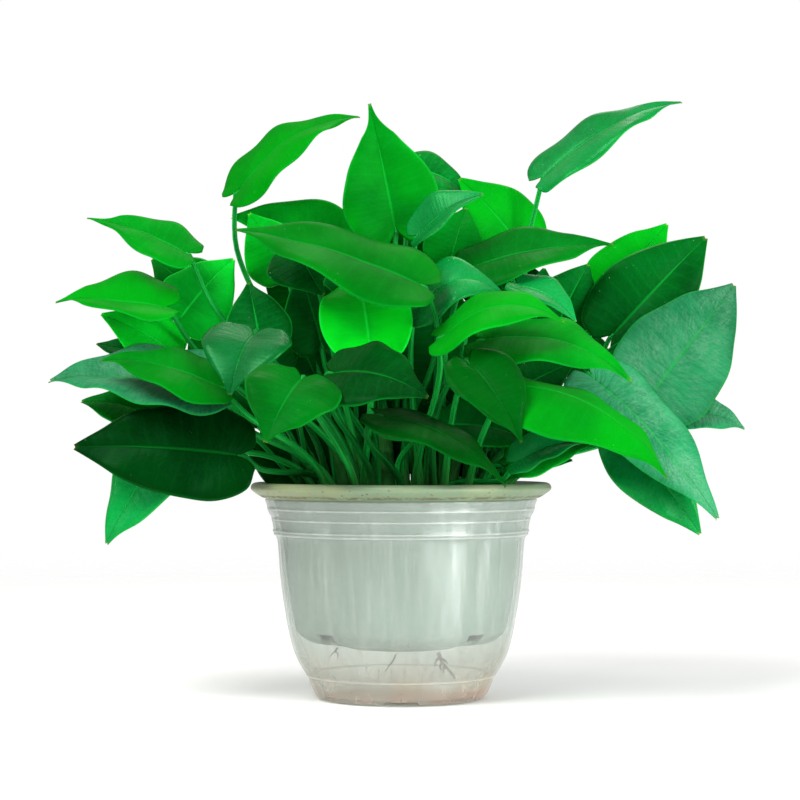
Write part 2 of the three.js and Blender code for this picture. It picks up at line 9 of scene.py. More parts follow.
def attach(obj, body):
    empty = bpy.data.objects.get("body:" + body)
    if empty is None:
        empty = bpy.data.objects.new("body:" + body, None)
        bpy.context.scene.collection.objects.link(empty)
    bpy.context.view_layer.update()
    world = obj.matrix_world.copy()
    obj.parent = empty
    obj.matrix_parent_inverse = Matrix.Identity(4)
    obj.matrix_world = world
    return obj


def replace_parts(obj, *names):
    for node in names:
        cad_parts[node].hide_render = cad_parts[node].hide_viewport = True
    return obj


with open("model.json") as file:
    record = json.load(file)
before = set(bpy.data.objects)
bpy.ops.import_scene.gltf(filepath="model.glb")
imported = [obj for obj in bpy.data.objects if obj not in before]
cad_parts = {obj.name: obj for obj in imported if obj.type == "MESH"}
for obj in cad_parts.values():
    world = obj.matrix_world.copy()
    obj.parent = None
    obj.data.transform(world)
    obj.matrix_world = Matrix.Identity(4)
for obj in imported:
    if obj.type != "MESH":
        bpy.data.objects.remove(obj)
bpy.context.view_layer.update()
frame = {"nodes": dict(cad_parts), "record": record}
print("frame loaded:", len(frame["nodes"]), "nodes")

mm = 0.001
slotOf = {part["node"]: part["material_slot"] for part in frame["record"]["subparts"]}


# camera and lights

cameraSettings = {"distance": 1.322, "height": 0.1536, "tiltUp": 1.04, "lens": 99.1, "aside": -0.0006}
camera = bpy.data.objects.new("camera", bpy.data.cameras.new("camera"))
camera.data.lens = cameraSettings["lens"]
camera.data.sensor_width = 36
camera.data.clip_start = 0.05
camera.location = (cameraSettings["aside"], -cameraSettings["distance"], cameraSettings["height"])
camera.rotation_euler = (math.radians(90 + cameraSettings["tiltUp"]), 0, 0)
bpy.context.scene.collection.objects.link(camera)
bpy.context.scene.camera = camera
bpy.context.scene.view_settings.view_transform = "Standard"

studio = {
    "colour": (1.0, 1.0, 1.0),
    "above": 0.85,  # strength of the light from above
    "below": 0.26,  # and from the horizon down
    "evenFrom": 0.9,  # how steep a direction has to be for the full strength
    "seen": 1.0,  # brightness of the backdrop itself
}
lightSettings = {
    # name: place, aim, width, height, watts, colour
    "keyPanel": ((-0.8, -1.1, 1.5), (0, 0, 0.2), 1.0, 1.0, 37, (1.0, 1.0, 0.98)),
    "fillPanel": ((1.15, -1.4, 0.5), (0, 0, 0.15), 0.9, 0.8, 23, (0.96, 1.0, 1.0)),
    "wideWindow": ((1.23, -0.86, 0.16), (0.03, -0.06, 0.09), 0.26, 0.6, 9, (1.0, 1.0, 1.0)),
    "slimWindow": ((1.5, -0.17, 0.16), (0.05, -0.06, 0.09), 0.08, 0.6, 4, (1.0, 1.0, 1.0)),
    "leftWindow": ((-1.42, -0.45, 0.16), (-0.05, -0.06, 0.09), 0.1, 0.6, 2, (1.0, 1.0, 1.0)),
    "backPanel": ((0.3, 1.2, 1.9), (0, 0, 0.25), 1.0, 0.8, 7, (1.0, 1.0, 0.96)),
}


def addLights():
    for name, (place, aim, width, height, watts, tint) in lightSettings.items():
        data = bpy.data.lights.new(name, "AREA")
        data.shape, data.size, data.size_y = "RECTANGLE", width, height
        data.energy, data.color = watts, tint
        lamp = bpy.data.objects.new(name, data)
        lamp.location = place
        lamp.rotation_euler = (Vector(aim) - Vector(place)).to_track_quat("-Z", "Y").to_euler()
        bpy.context.scene.collection.objects.link(lamp)


def makeWorld():
    # white where it is seen; as light, brighter from above than from below
    world = bpy.data.worlds.new("studio")
    world.use_nodes = True
    nodes, links = world.node_tree.nodes, world.node_tree.links
    light, seen = nodes["Background"], nodes.new("ShaderNodeBackground")
    for lamp, strength in ((light, studio["above"]), (seen, studio["seen"])):
        lamp.inputs["Color"].default_value = (*studio["colour"], 1)
        lamp.inputs["Strength"].default_value = strength
    where, parts = nodes.new("ShaderNodeTexCoord"), nodes.new("ShaderNodeSeparateXYZ")
    height = nodes.new("ShaderNodeMapRange")
    height.interpolation_type = "SMOOTHSTEP"
    ranges = {"From Max": studio["evenFrom"], "To Min": studio["below"], "To Max": studio["above"]}
    for key, value in ranges.items():
        height.inputs[key].default_value = value
    path, mix = nodes.new("ShaderNodeLightPath"), nodes.new("ShaderNodeMixShader")
    links.new(where.outputs["Generated"], parts.inputs[0])
    links.new(parts.outputs["Z"], height.inputs["Value"])
    links.new(height.outputs["Result"], light.inputs["Strength"])
    links.new(path.outputs["Is Camera Ray"], mix.inputs[0])
    links.new(light.outputs[0], mix.inputs[1])
    links.new(seen.outputs[0], mix.inputs[2])
    links.new(mix.outputs[0], nodes["World Output"].inputs["Surface"])
    return world


addLights()
bpy.context.scene.world = makeWorld()
print("camera and lights set")


# node helpers

class Wire:
    # a socket that can be used in plain arithmetic
    def __init__(self, finish, socket):
        self.finish, self.socket = finish, socket

    def calc(self, operation, first, second=0.0, clamp=False):
        settings = {"operation": operation, "use_clamp": clamp}
        return self.finish.add("Math", settings, {0: first, 1: second})["Value"]

    def __add__(self, other):
        return self.calc("ADD", self, other)

    def __sub__(self, other):
        return self.calc("SUBTRACT", self, other)

    def __rsub__(self, other):
        return self.calc("SUBTRACT", other, self)

    def __mul__(self, other):
        return self.calc("MULTIPLY", self, other)

    def __pow__(self, other):
        return self.calc("POWER", self, other)

    __radd__ = __add__
    __rmul__ = __mul__

    def size(self):
        return self.calc("ABSOLUTE", self)

    def clip(self):
        return self.calc("ADD", self, 0.0, clamp=True)

    def least(self, other):
        return self.calc("MINIMUM", self, other)

    def most(self, other):
        return self.calc("MAXIMUM", self, other)

    def part(self):
        return self.calc("FRACT", self)

    def over(self, low, high):
        # 0 below low, 1 above high, smooth between
        settings = {"interpolation_type": "SMOOTHSTEP"}
        return self.finish.add("MapRange", settings, {"Value": self, 1: low, 2: high})["Result"]

    def above(self, band):
        # the same for a height, with the band in mm
        return self.over(band[0] * mm, band[1] * mm)

    def within(self, rise, fall):
        # 1 between two such bands
        return self.above(rise) * (1 - self.above(fall))


class Added:
    # a node whose outputs come out as wires
    def __init__(self, finish, node):
        self.finish, self.node = finish, node

    def __getitem__(self, key):
        for output in self.node.outputs:
            if key in (output.name, output.identifier) and output.enabled:
                return Wire(self.finish, output)
        raise KeyError(key)


class Finish:
    # one material and the nodes in it
    def __init__(self, name):
        self.material = bpy.data.materials.new(name)
        self.material.use_nodes = True
        self.tree = self.material.node_tree
        self.tree.nodes.clear()
        self.output = self.tree.nodes.new("ShaderNodeOutputMaterial")

    def add(self, kind, settings, sockets):
        # settings come first, because they can change which sockets the node has
        node = self.tree.nodes.new("ShaderNode" + kind)
        for key, value in settings.items():
            setattr(node, key, value)
        for key, value in sockets.items():
            socket = self.find(node, key)
            if isinstance(value, Wire):
                self.tree.links.new(value.socket, socket)
            elif socket.type == "RGBA":
                socket.default_value = (*value[:3], 1)
            else:
                socket.default_value = value
        return Added(self, node)

    @staticmethod
    def find(node, key):
        if isinstance(key, int):
            return node.inputs[key]
        for socket in node.inputs:
            if key == socket.identifier or (key == socket.name and socket.enabled):
                return socket
        raise KeyError(key)

    def place(self):
        return self.add("TexCoord", {}, {})["Object"]

    def split(self, vector):
        parts = self.add("SeparateXYZ", {}, {0: vector})
        return parts["X"], parts["Y"], parts["Z"]

    def mapped(self, name):
        return self.split(self.add("UVMap", {"uv_map": name}, {})["UV"])[:2]

    def join(self, x, y, z):
        return self.add("CombineXYZ", {}, {0: x, 1: y, 2: z})["Vector"]

    def stretch(self, vector, factors):
        return self.add("VectorMath", {"operation": "MULTIPLY"}, {0: vector, 1: factors})["Vector"]

    def grain(self, vector, scale, detail=3.0, rough=0.5, distort=0.0):
        sockets = {"Vector": vector, "Scale": scale, "Detail": detail, "Roughness": rough}
        return self.add("TexNoise", {}, {**sockets, "Distortion": distort})["Fac"]

    def cells(self, vector, scale):
        return self.add("TexVoronoi", {}, {"Vector": vector, "Scale": scale})["Distance"]

    def blend(self, amount, first, second, mode="MIX"):
        settings = {"data_type": "RGBA", "blend_type": mode, "clamp_factor": True}
        sockets = {"Factor_Float": amount, "A_Color": first, "B_Color": second}
        return self.add("Mix", settings, sockets)["Result_Color"]

    def bump(self, height, depth):
        return self.add("Bump", {}, {"Height": height, "Distance": depth})["Normal"]

    def attribute(self, name):
        return self.add("Attribute", {"attribute_name": name}, {})["Fac"]

    def shader(self, sockets):
        return self.add("BsdfPrincipled", {}, sockets)["BSDF"]

    def finishWith(self, wire):
        self.tree.links.new(wire.socket, self.output.inputs["Surface"])
        return self.material


# mesh helpers

blockFaces = ((0, 1, 3, 2), (4, 6, 7, 5), (0, 4, 5, 1), (2, 3, 7, 6), (0, 2, 6, 4), (1, 5, 7, 3))


def makePiece(name, points, faces, finishes, slots=None, maps=None, values=None, smooth=True):
    # slots say which finish a face has, maps where a point lies on the leafMap, values are even attributes
    mesh = bpy.data.meshes.new(name)
    mesh.from_pydata([tuple(p) for p in points], [], faces)
    for finish in finishes:
        mesh.materials.append(finish)
    if slots is not None:
        mesh.polygons.foreach_set("material_index", slots)
    mesh.polygons.foreach_set("use_smooth", [smooth] * len(mesh.polygons))
    if maps is not None:
        layer = mesh.uv_layers.new(name="leafMap")
        corners = np.zeros(len(mesh.loops), dtype=np.int32)
        mesh.loops.foreach_get("vertex_index", corners)
        layer.data.foreach_set("uv", np.asarray(maps, dtype=np.float32)[corners].ravel())
    for key, value in (values or {}).items():
        data = mesh.attributes.new(key, "FLOAT", "POINT")
        data.data.foreach_set("value", np.full(len(mesh.vertices), value, dtype=np.float32))
    mesh.validate()
    mesh.update()
    piece = bpy.data.objects.new(name, mesh)
    bpy.context.scene.collection.objects.link(piece)
    return piece


def curveThrough(points, steps):
    # Catmull-Rom through the points, steps pieces a span; works on stacks of columns too
    points = np.asarray(points, dtype=float)
    padded = np.concatenate([[2 * points[0] - points[1]], points, [2 * points[-1] - points[-2]]])
    found = []
    for i in range(len(points) - 1):
        a, b, c, d = padded[i:i + 4]
        for k in range(steps):
            t = k / steps
            found.append(0.5 * (2 * b + (c - a) * t + (2 * a - 5 * b + 4 * c - d) * t ** 2
                                + (3 * b - a - 3 * c + d) * t ** 3))
    found.append(points[-1])
    return np.array(found)


def tubeMesh(path, radii, sides, firstAcross, dent=0.0):
    # rings along the path; dent is the depth of a groove on the side facing up
    grooveHalf = 0.45  # radians
    path = np.asarray(path)
    tangents = np.gradient(path, axis=0)
    tangents /= np.linalg.norm(tangents, axis=1, keepdims=True) + 1e-12
    across = np.asarray(firstAcross, dtype=float)
    points, maps = [], []
    for i, (centre, along) in enumerate(zip(path, tangents)):
        across = across - along * across.dot(along)
        across /= np.linalg.norm(across) + 1e-12
        up = np.cross(across, along)
        for k in range(sides):
            turn = 2 * math.pi * k / sides
            fromTop = (turn + math.pi / 2) % (2 * math.pi) - math.pi
            radius = radii[i] * (1 - dent * math.exp(-(fromTop / grooveHalf) ** 2))
            points.append(centre + radius * (across * math.cos(turn) + up * math.sin(turn)))
            maps.append((k / sides, i / (len(path) - 1)))
    faces = []
    for i in range(len(path) - 1):
        for k in range(sides):
            n = (k + 1) % sides
            faces.append((i * sides + k, i * sides + n, (i + 1) * sides + n, (i + 1) * sides + k))
    faces.append(tuple(range(sides))[::-1])
    last = (len(path) - 1) * sides
    faces.append(tuple(range(last, last + sides)))
    return points, faces, maps


def softenProfile(profile, rounds):
    # cuts the corners of a closed profile whose two ends lie on the axis
    near, far = 0.75, 0.25
    for _ in range(rounds):
        softer = [profile[0]]
        for (r1, z1), (r2, z2) in zip(profile, profile[1:]):
            softer.append((r1 * near + r2 * far, z1 * near + z2 * far))
            softer.append((r1 * far + r2 * near, z1 * far + z2 * near))
        profile = [*softer, profile[-1]]
    return profile


def spinMesh(profile, sides):
    turns = [2 * math.pi * k / sides for k in range(sides)]
    points, rows = [], []
    for radius, z in profile:
        if radius < 1e-6:
            rows.append([len(points)] * sides)
            points.append((0, 0, z))
        else:
            rows.append(list(range(len(points), len(points) + sides)))
            points += [(radius * math.cos(turn), radius * math.sin(turn), z) for turn in turns]
    faces = []
    for low, high in zip(rows, rows[1:]):
        for k in range(sides):
            n = (k + 1) % sides
            loop = list(dict.fromkeys((low[k], low[n], high[n], high[k])))
            if len(loop) > 2:
                faces.append(tuple(loop))
    return points, faces


# pots, with profiles and heights in mm

potTurns = {"sides": 144, "softened": 2}
clearPot = {
    "profile": [
        (0, 0), (50, 0), (51.2, 1.8), (52.2, 3.8), (54.6, 9), (55.4, 12.4), (57, 14.4), (59.4, 18),
        (62.4, 23.4), (64.7, 28.8), (67.5, 39.6), (70.5, 57.6), (72.6, 75.6), (73.6, 92), (74.3, 95.6),
        (76, 97.6), (76.6, 102.6), (77.5, 108), (79.3, 110.2), (80.1, 114.6), (81.4, 117.6), (81.4, 118.5),
        (79.8, 118.5), (78.6, 115), (77.8, 111.4), (76, 108.9), (75, 102.8), (74.4, 98.4), (72.7, 96.2),
        (71.9, 90), (71, 75.6), (68.9, 57.8), (65.9, 40), (63.1, 29.4), (60.9, 24.2), (58, 19.2),
        (55.4, 15.6), (53.7, 12.8), (53, 9.4), (50.4, 4), (49, 2.2), (0, 2.2),
    ],
    # how milky the plastic is: everywhere, and what is added by each cause; at the beads the added milk
    # partly paints their highlight lines
    "veils": {
        "all": 0.14, "drawn": 0.11, "ledge": 0.05, "low": 0.10, "scuffs": 0.08, "edge": 0.38, "beads": 0.3,
    },
    "ledgeBand": (92, 97),
    "lowBand": (2, 50),
    "footBand": (3, 12),
    "glassTint": (0.91, 0.93, 0.91),
    "milk": (0.46, 0.51, 0.47),
    "lime": (0.60, 0.48, 0.34),
    "blush": (0.62, 0.36, 0.28),
    "roughness": 0.26,
    "glassIor": 2.2,  # more than real plastic has, for clearer reflections
    "brushed": 0.92,
    "brushTurn": 0.25,
    "notches": 4,
    "notchHalf": 0.21,  # radians
    "notchFrom": 44.5,
    "notchHigh": 2.4,
    "beads": ((112.6, 0.5), (106.4, 0.5), (99.4, 0.6), (97.4, 0.5), (13.4, 0.3)),  # height, how far out
    "beadHalf": 0.55,
    "beadSharp": 1400,
}


def clearFinish(values):
    # see-through plastic under a milky film that is thicker at grazing angles
    f = Finish("clearPlastic")
    place = f.place()
    _, _, z = f.split(place)
    drawn = f.grain(f.stretch(place, (260, 260, 14)), 1.0, 4)
    scuffs = f.grain(f.stretch(place, (70, 70, 260)), 1.0, 5, 0.7)
    lime = f.grain(place, 60, 4)
    low, foot = 1 - z.above(values["lowBand"]), 1 - z.above(values["footBand"])
    fromBeads = (((z - height * mm) * values["beadSharp"]).size() for height, _ in values["beads"])
    beads = sum((1 - off).clip() for off in fromBeads)
    facing = f.add("LayerWeight", {}, {"Blend": 0.35})["Facing"]
    veils = values["veils"]
    film = veils["all"] + drawn.over(0.42, 0.75) * veils["drawn"]
    film = film + z.above(values["ledgeBand"]) * veils["ledge"] + low * veils["low"]
    film = film + scuffs.over(0.62, 0.74) * veils["scuffs"]
    # milkier at the beads, which partly paints the bright lines of their highlights
    film = film + facing ** 2.6 * veils["edge"] + beads * veils["beads"]
    milk = f.blend(low * (0.4 + 0.6 * lime.over(0.3, 0.75)), values["milk"], values["lime"])
    milk = f.blend(foot * (0.25 + 0.5 * lime.over(0.35, 0.7)), milk, values["blush"])
    wall = f.shader({
        "Base Color": milk,
        "Roughness": values["roughness"] + scuffs * 0.12,
        "Normal": f.bump(drawn + scuffs * 0.08, 0.0003),
        "IOR": values["glassIor"],
        "Specular IOR Level": 1.0,
        "Anisotropic": values["brushed"],
        "Anisotropic Rotation": values["brushTurn"],
    })
    through = f.add("BsdfTransparent", {}, {"Color": values["glassTint"]})["BSDF"]
    return f.finishWith(f.add("MixShader", {}, {0: film.clip(), 1: through, 2: wall})["Shader"])


def potMesh(values):
    profile = softenProfile([(r * mm, z * mm) for r, z in values["profile"]], potTurns["softened"])
    return spinMesh(profile, potTurns["sides"])


def makeClearPot(values):
    points, faces = potMesh(values)
    step = 2 * math.pi / values["notches"]
    notchFrom, notchHigh = values["notchFrom"] * mm, values["notchHigh"] * mm
    shaped = []
    for px, py, pz in points:
        radius, turn = math.hypot(px, py), math.atan2(py, px)
        off = abs((turn + math.pi / 2 + step / 2) % step - step / 2)
        if radius > notchFrom and pz < notchHigh and off < values["notchHalf"]:
            pz = notchHigh
        for height, depth in values["beads"]:
            near = math.exp(-((pz / mm - height) / values["beadHalf"]) ** 2) * depth * mm
            px, py = px * (1 + near / max(radius, mm)), py * (1 + near / max(radius, mm))
        shaped.append((px, py, pz))
    pot = makePiece("clearPot", shaped, faces, [clearFinish(values)])
    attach(pot, "root")
    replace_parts(pot, "outer_pot")


linerPot = {
    "profile": [
        (0, 29), (34, 29), (36, 33.5), (54, 33.5), (57, 34.6), (62, 38.6), (63.4, 42.6), (66.6, 60),
        (69, 78), (70.2, 92), (72.4, 106), (74, 113), (76.6, 117.4), (79.4, 118.8), (82.2, 118.9),
        (85.2, 120.6), (87.8, 122.4), (90, 124.2), (90, 126.2), (88.6, 127.9), (86, 128.4), (83.6, 127.4),
        (81.6, 124.6), (79, 121), (75, 117.8), (72.2, 113.4), (70.4, 106), (68.2, 92), (67, 78),
        (64.6, 60), (61.4, 43.2), (60, 40.6), (56, 36.2), (37.6, 36), (33, 31.6), (0, 31.6),
    ],
    "wall": (0.35, 0.425, 0.38),
    "wallDark": (0.22, 0.28, 0.235),
    "rim": (0.17, 0.245, 0.14),
    "rimYellow": (0.235, 0.28, 0.14),
    # colour of the dirt, also used for the painted shadow under the lip
    "dirt": (0.10, 0.078, 0.04),
    "rimBand": (116.5, 119.5),  # where the wall's colour turns into the rim's
    "shadeBands": ((50, 100), (98, 112)),  # where the wall grows darker towards the rim: painted shadow under it
    "lipDirt": ((119.4, 120), (120.7, 121.6)),  # a line of dirt and painted shadow under the lip: where it starts and where it ends
    "faceDirt": ((120.5, 122), (124.6, 126.2)),  # specks on the rim's face
    "slots": 4,
    "slot": {"from": 52, "to": 64, "half": 6.5, "low": 33.5, "high": 40.5},
}


def linerFinish(values):
    f = Finish("sagePlastic")
    place = f.place()
    _, _, z = f.split(place)
    cloudy = f.grain(place, 22, 4)
    drawn = f.grain(f.stretch(place, (180, 180, 8)), 1.0, 4)
    speck = f.cells(place, 300)
    spots = f.grain(place, 900, 2)
    smear = f.grain(f.stretch(place, (260, 260, 420)), 1.0, 5, 0.7)
    rim = z.above(values["rimBand"])
    lip, face = z.within(*values["lipDirt"]), z.within(*values["faceDirt"])
    lower, upper = (z.above(band) for band in values["shadeBands"])
    # cloudy and drawn marks are the plastic's own; lower and upper paint the shadow under the rim
    shadeMap = cloudy.over(0.35, 0.7) * 0.35 + drawn * 0.2 + lower * 0.25 + upper * 0.3
    wall = f.blend(shadeMap.clip(), values["wall"], values["wallDark"])
    edge = f.blend(cloudy.over(0.4, 0.62), values["rim"], values["rimYellow"])
    grimeAndShadow = face * (1 - speck.over(0.14, 0.3)) * f.grain(place, 34, 3).over(0.42, 0.6)
    # the line under the lip is dirt with painted shadow; the specks on the face are dirt
    grimeAndShadow = grimeAndShadow.most(lip * smear.over(0.40, 0.54))
    colour = f.blend(rim, wall, edge)
    colour = f.blend((grimeAndShadow * 0.85 + rim * spots.over(0.63, 0.7) * 0.22).clip(), colour, values["dirt"])
    shade = f.shader({
        "Base Color": colour,
        "Roughness": 0.36 + cloudy * 0.2 + grimeAndShadow * 0.3,
        "Normal": f.bump(drawn * 0.5 + spots * 0.35 + cloudy, 0.0002),
        "Coat Roughness": 0.3,
        "Coat Weight": 0.12,
    })
    return f.finishWith(shade)


def slotCutters(values):
    # one block through the lower chamfer for every drain slot
    slot = {key: size * mm for key, size in values["slot"].items()}
    points, faces = [], []
    for k in range(values["slots"]):
        turn = (k + 0.5) / values["slots"] * 2 * math.pi
        start = len(points)
        for radius in (slot["from"], slot["to"]):
            for side in (-slot["half"], slot["half"]):
                x = radius * math.cos(turn) - side * math.sin(turn)
                y = radius * math.sin(turn) + side * math.cos(turn)
                points += [(x, y, slot["low"]), (x, y, slot["high"])]
        faces += [tuple(start + c for c in face) for face in blockFaces]
    return makePiece("cutters", points, faces, [])


def cutAway(piece, cutters):
    cut = piece.modifiers.new("cut", "BOOLEAN")
    cut.object, cut.operation, cut.solver = cutters, "DIFFERENCE", "EXACT"
    ready = piece.evaluated_get(bpy.context.evaluated_depsgraph_get())
    piece.data = bpy.data.meshes.new_from_object(ready)
    piece.modifiers.clear()
    bpy.data.objects.remove(cutters)


def makeLinerPot(values):
    points, faces = potMesh(values)
    pot = makePiece("linerPot", points, faces, [linerFinish(values)])
    cutAway(pot, slotCutters(values))
    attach(pot, "root")
    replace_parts(pot, "liner_pot")


makeClearPot(clearPot)
makeLinerPot(linerPot)
print("pots made")


# soil and roots

soilLook = {
    "radius": 70.8 * mm,
    "top": 116.8 * mm,
    "bottom": 96 * mm,
    "rings": 34,
    "sides": 72,
    "bump": 1.28 * mm,
    "lumpy": 90,  # lumps per metre, roughly
    "sag": 1 * mm,  # how much lower the soil is at the wall
    "spread": 0.94,  # how far out the crumbs lie, as a share of the radius
    "crumbs": (260, 1.2, 3.4),  # how many, and the smallest and largest in mm
    "perlite": (46, 1.0, 2.0),
    "dark": (0.018, 0.011, 0.007),
    "brown": (0.075, 0.045, 0.026),
    "pale": (0.62, 0.6, 0.54),
    "palest": (0.8, 0.79, 0.75),
}


def soilFinish(name, dark, brown):
    f = Finish(name)
    place = f.place()
    lumps = f.grain(place, 120, 6, 0.65)
    fibres = f.grain(f.stretch(place, (900, 260, 500)), 1.0, 4, 0.6)
    colour = f.blend((lumps * 0.8 + fibres * 0.5 - 0.25).clip(), dark, brown)
    shade = f.shader({
        "Base Color": colour,
        "Roughness": 0.8 + lumps * 0.2,
        "Normal": f.bump(lumps + fibres * 0.4, 0.0012),
    })
    return f.finishWith(shade)


def clod(centre, size, rng):
    # a small rough lump: a cube's corners pushed out at random, and a peak on every face
    corners = [Vector((sx, sy, sz)) for sx in (-1, 1) for sy in (-1, 1) for sz in (-1, 1)]
    points = [centre + corner * size * rng.uniform(0.45, 0.85) for corner in corners]
    peaks, split = [], []
    for face in blockFaces:
        middle = sum((points[k] for k in face), Vector()) / 4
        out = (middle - centre).normalized()
        peaks.append(middle + out * size * rng.uniform(0.12, 0.4))
    for k, face in enumerate(blockFaces):
        split += [(a, b, len(points) + k) for a, b in zip(face, face[1:] + face[:1])]
    return [*points, *peaks], split


def soilPlug(values):
    # the rough top, ring by ring from the middle, and the straight wall and flat bottom below it
    rings, sides = values["rings"], values["sides"]
    points, faces = [(0, 0, values["top"])], []
    for i in range(1, rings + 1):
        radius = values["radius"] * i / rings
        for k in range(sides):
            turn = 2 * math.pi * k / sides
            px, py = radius * math.cos(turn), radius * math.sin(turn)
            rough = noise.fractal(Vector((px, py, 0.3)) * values["lumpy"], 0.8, 2.1, 4)
            points.append((px, py, values["top"] + values["bump"] * rough - values["sag"] * (i / rings) ** 3))
    points += [(x, y, values["bottom"]) for x, y, z in points[-sides:]]
    points.append((0, 0, values["bottom"]))
    for k in range(sides):
        n = (k + 1) % sides
        faces.append((0, 1 + k, 1 + n))
        for i in range(rings):
            low, high = 1 + i * sides, 1 + (i + 1) * sides
            faces.append((low + k, high + k, high + n, low + n))
        faces.append((1 + rings * sides + k, len(points) - 1, 1 + rings * sides + n))
    return points, faces


def makeSoil(values):
    rng = random.Random(5)
    points, faces = soilPlug(values)
    slots = [0] * len(faces)
    for slot, (count, small, large) in enumerate((values["crumbs"], values["perlite"])):
        for _ in range(count):
            radius = values["radius"] * values["spread"] * math.sqrt(rng.random())
            turn = rng.uniform(0, 2 * math.pi)
            at = Vector((radius * math.cos(turn), radius * math.sin(turn), values["top"] + 0.4 * mm))
            extra, joined = clod(at, rng.uniform(small, large) * mm, rng)
            faces += [tuple(k + len(points) for k in face) for face in joined]
            slots += [slot] * len(joined)
            points += extra
    finishes = [
        soilFinish("compost", values["dark"], values["brown"]),
        soilFinish("perlite", values["pale"], values["palest"]),
    ]
    soil = makePiece("soilBed", points, faces, finishes, slots)
    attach(soil, "root")
    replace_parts(soil, "soil")


def rootFinish():
    f = Finish("rootSkin")
    place = f.place()
    knots = f.grain(place, 300, 4)
    colour = f.blend(knots.over(0.3, 0.7), (0.035, 0.024, 0.016), (0.12, 0.08, 0.05))
    shade = f.shader({"Base Color": colour, "Roughness": 0.7 + knots * 0.2, "Normal": f.bump(knots, 0.0005)})
    return f.finishWith(shade)


# how much thinner a root's end is, how uneven it is, and how thick a branch is beside the main root
rootTaper = {"thin": 0.6, "uneven": 0.25, "branch": 0.6, "sides": 8}
rootLook = {
    # path and radius in mm, then the paths of its branches
    "root_1": ([(-37, -41.5, 33), (-38, -42.5, 31), (-36.6, -42, 29.4), (-36.8, -43, 27)], 0.7,
               [[(-38, -42.5, 31), (-40, -43, 29.6), (-41, -43.4, 27.8)]]),
    "root_2": ([(-3, -31, 28.4), (-4.4, -31.6, 25), (-7, -31, 21.6), (-9, -32, 18.4)], 0.6, []),
    "root_3": ([(22, -22, 28.4), (23.6, -23, 24.4), (26, -22.6, 20.6), (30, -24, 16), (32, -23, 13)], 1.3,
               [[(23, -22.6, 26), (20.4, -24, 23.4), (20, -25, 20.6)],
                [(23.4, -22.8, 25), (26, -25, 24), (27.6, -26, 22)],
                [(24.6, -23, 23), (23, -21, 20), (23.8, -20, 18)],
                [(26, -22.6, 20.6), (24.8, -24, 18.4), (25.4, -25, 16.6)]]),
}


def makeRoots(finish):
    for name, (path, thick, branches) in rootLook.items():
        points, faces = [], []
        for k, run in enumerate([path, *branches]):
            smooth = curveThrough(np.array(run) * mm, 5)
            size = thick * mm * (1 if k == 0 else rootTaper["branch"])
            wobble = [1 + rootTaper["uneven"] * noise.noise(Vector(p) * 900) for p in smooth]
            radii = [size * w * (1 - rootTaper["thin"] * i / len(smooth)) for i, w in enumerate(wobble)]
            more, joined, _ = tubeMesh(smooth, radii, rootTaper["sides"], (1, 0, 0))
            faces += [tuple(c + len(points) for c in face) for face in joined]
            points += more
        root = makePiece(name.replace("_", "Piece"), points, faces, [finish])
        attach(root, "root")
        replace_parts(root, name)


makeSoil(soilLook)
makeRoots(rootFinish())
print("soil and roots made")


# leaf finishes

# leaf_bright, leaf_fresh, leaf_middle and leaf_deep are one green at falling brightness: partly the leaves'
# own colours, partly painted light and shade
leafTones = {
    # light and dark of the upper face, the underside, and pale patches, partly bloom and partly painted
    # sheen; then how much of them, and the shine
    "leaf_bright": {
        "light": (0.0004, 0.27, 0.004), "dark": (0.0004, 0.17, 0.004), "under": (0.0006, 0.16, 0.008),
        "haze": (0.003, 0.34, 0.03), "bloom": 0.12, "rough": 0.36, "gloss": 0.02, "ripple": 0.16,
    },
    "leaf_fresh": {
        "light": (0.0004, 0.21, 0.005), "dark": (0.0004, 0.115, 0.004), "under": (0.0006, 0.12, 0.009),
        "haze": (0.003, 0.3, 0.035), "bloom": 0.18, "rough": 0.33, "gloss": 0.024, "ripple": 0.18,
    },
    "leaf_middle": {
        "light": (0.0004, 0.165, 0.006), "dark": (0.0004, 0.085, 0.004), "under": (0.0006, 0.1, 0.01),
        "haze": (0.003, 0.26, 0.035), "bloom": 0.2, "rough": 0.24, "gloss": 0.035, "ripple": 0.2,
    },
    "leaf_deep": {
        "light": (0.0004, 0.085, 0.006), "dark": (0.0004, 0.035, 0.003), "under": (0.0006, 0.07, 0.009),
        "haze": (0.003, 0.18, 0.035), "bloom": 0.26, "rough": 0.23, "gloss": 0.035, "ripple": 0.2,
    },
    "leaf_teal": {
        "light": (0.0008, 0.22, 0.032), "dark": (0.0005, 0.11, 0.015), "under": (0.003, 0.16, 0.03),
        "haze": (0.015, 0.3, 0.1), "bloom": 0.35, "rough": 0.2, "gloss": 0.22, "ripple": 0.2,
    },
    "leaf_pale": {
        "light": (0.02, 0.28, 0.1), "dark": (0.003, 0.14, 0.045), "under": (0.02, 0.22, 0.09),
        "haze": (0.125, 0.33, 0.195), "bloom": 0.75, "rough": 0.42, "gloss": 0.1, "ripple": 0.8,
    },
}
leafDetail = {
    "sideVeins": 13,  # pairs
    "dust": (0.30, 0.52, 0.36),
    "edge": (0.006, 0.42, 0.035),
    "tip": (0.26, 0.40, 0.06),
    "glossTint": (0.25, 1.0, 0.45),
    "relief": 0.8 * mm,
    "stalkLight": (0.010, 0.46, 0.055),
    "stalkDark": (0.002, 0.10, 0.012),
    "stalkFoot": (0.03, 0.06, 0.015),
    "stalkTint": 1.15,  # the most that a leaf's brightness raises its stalk's
}


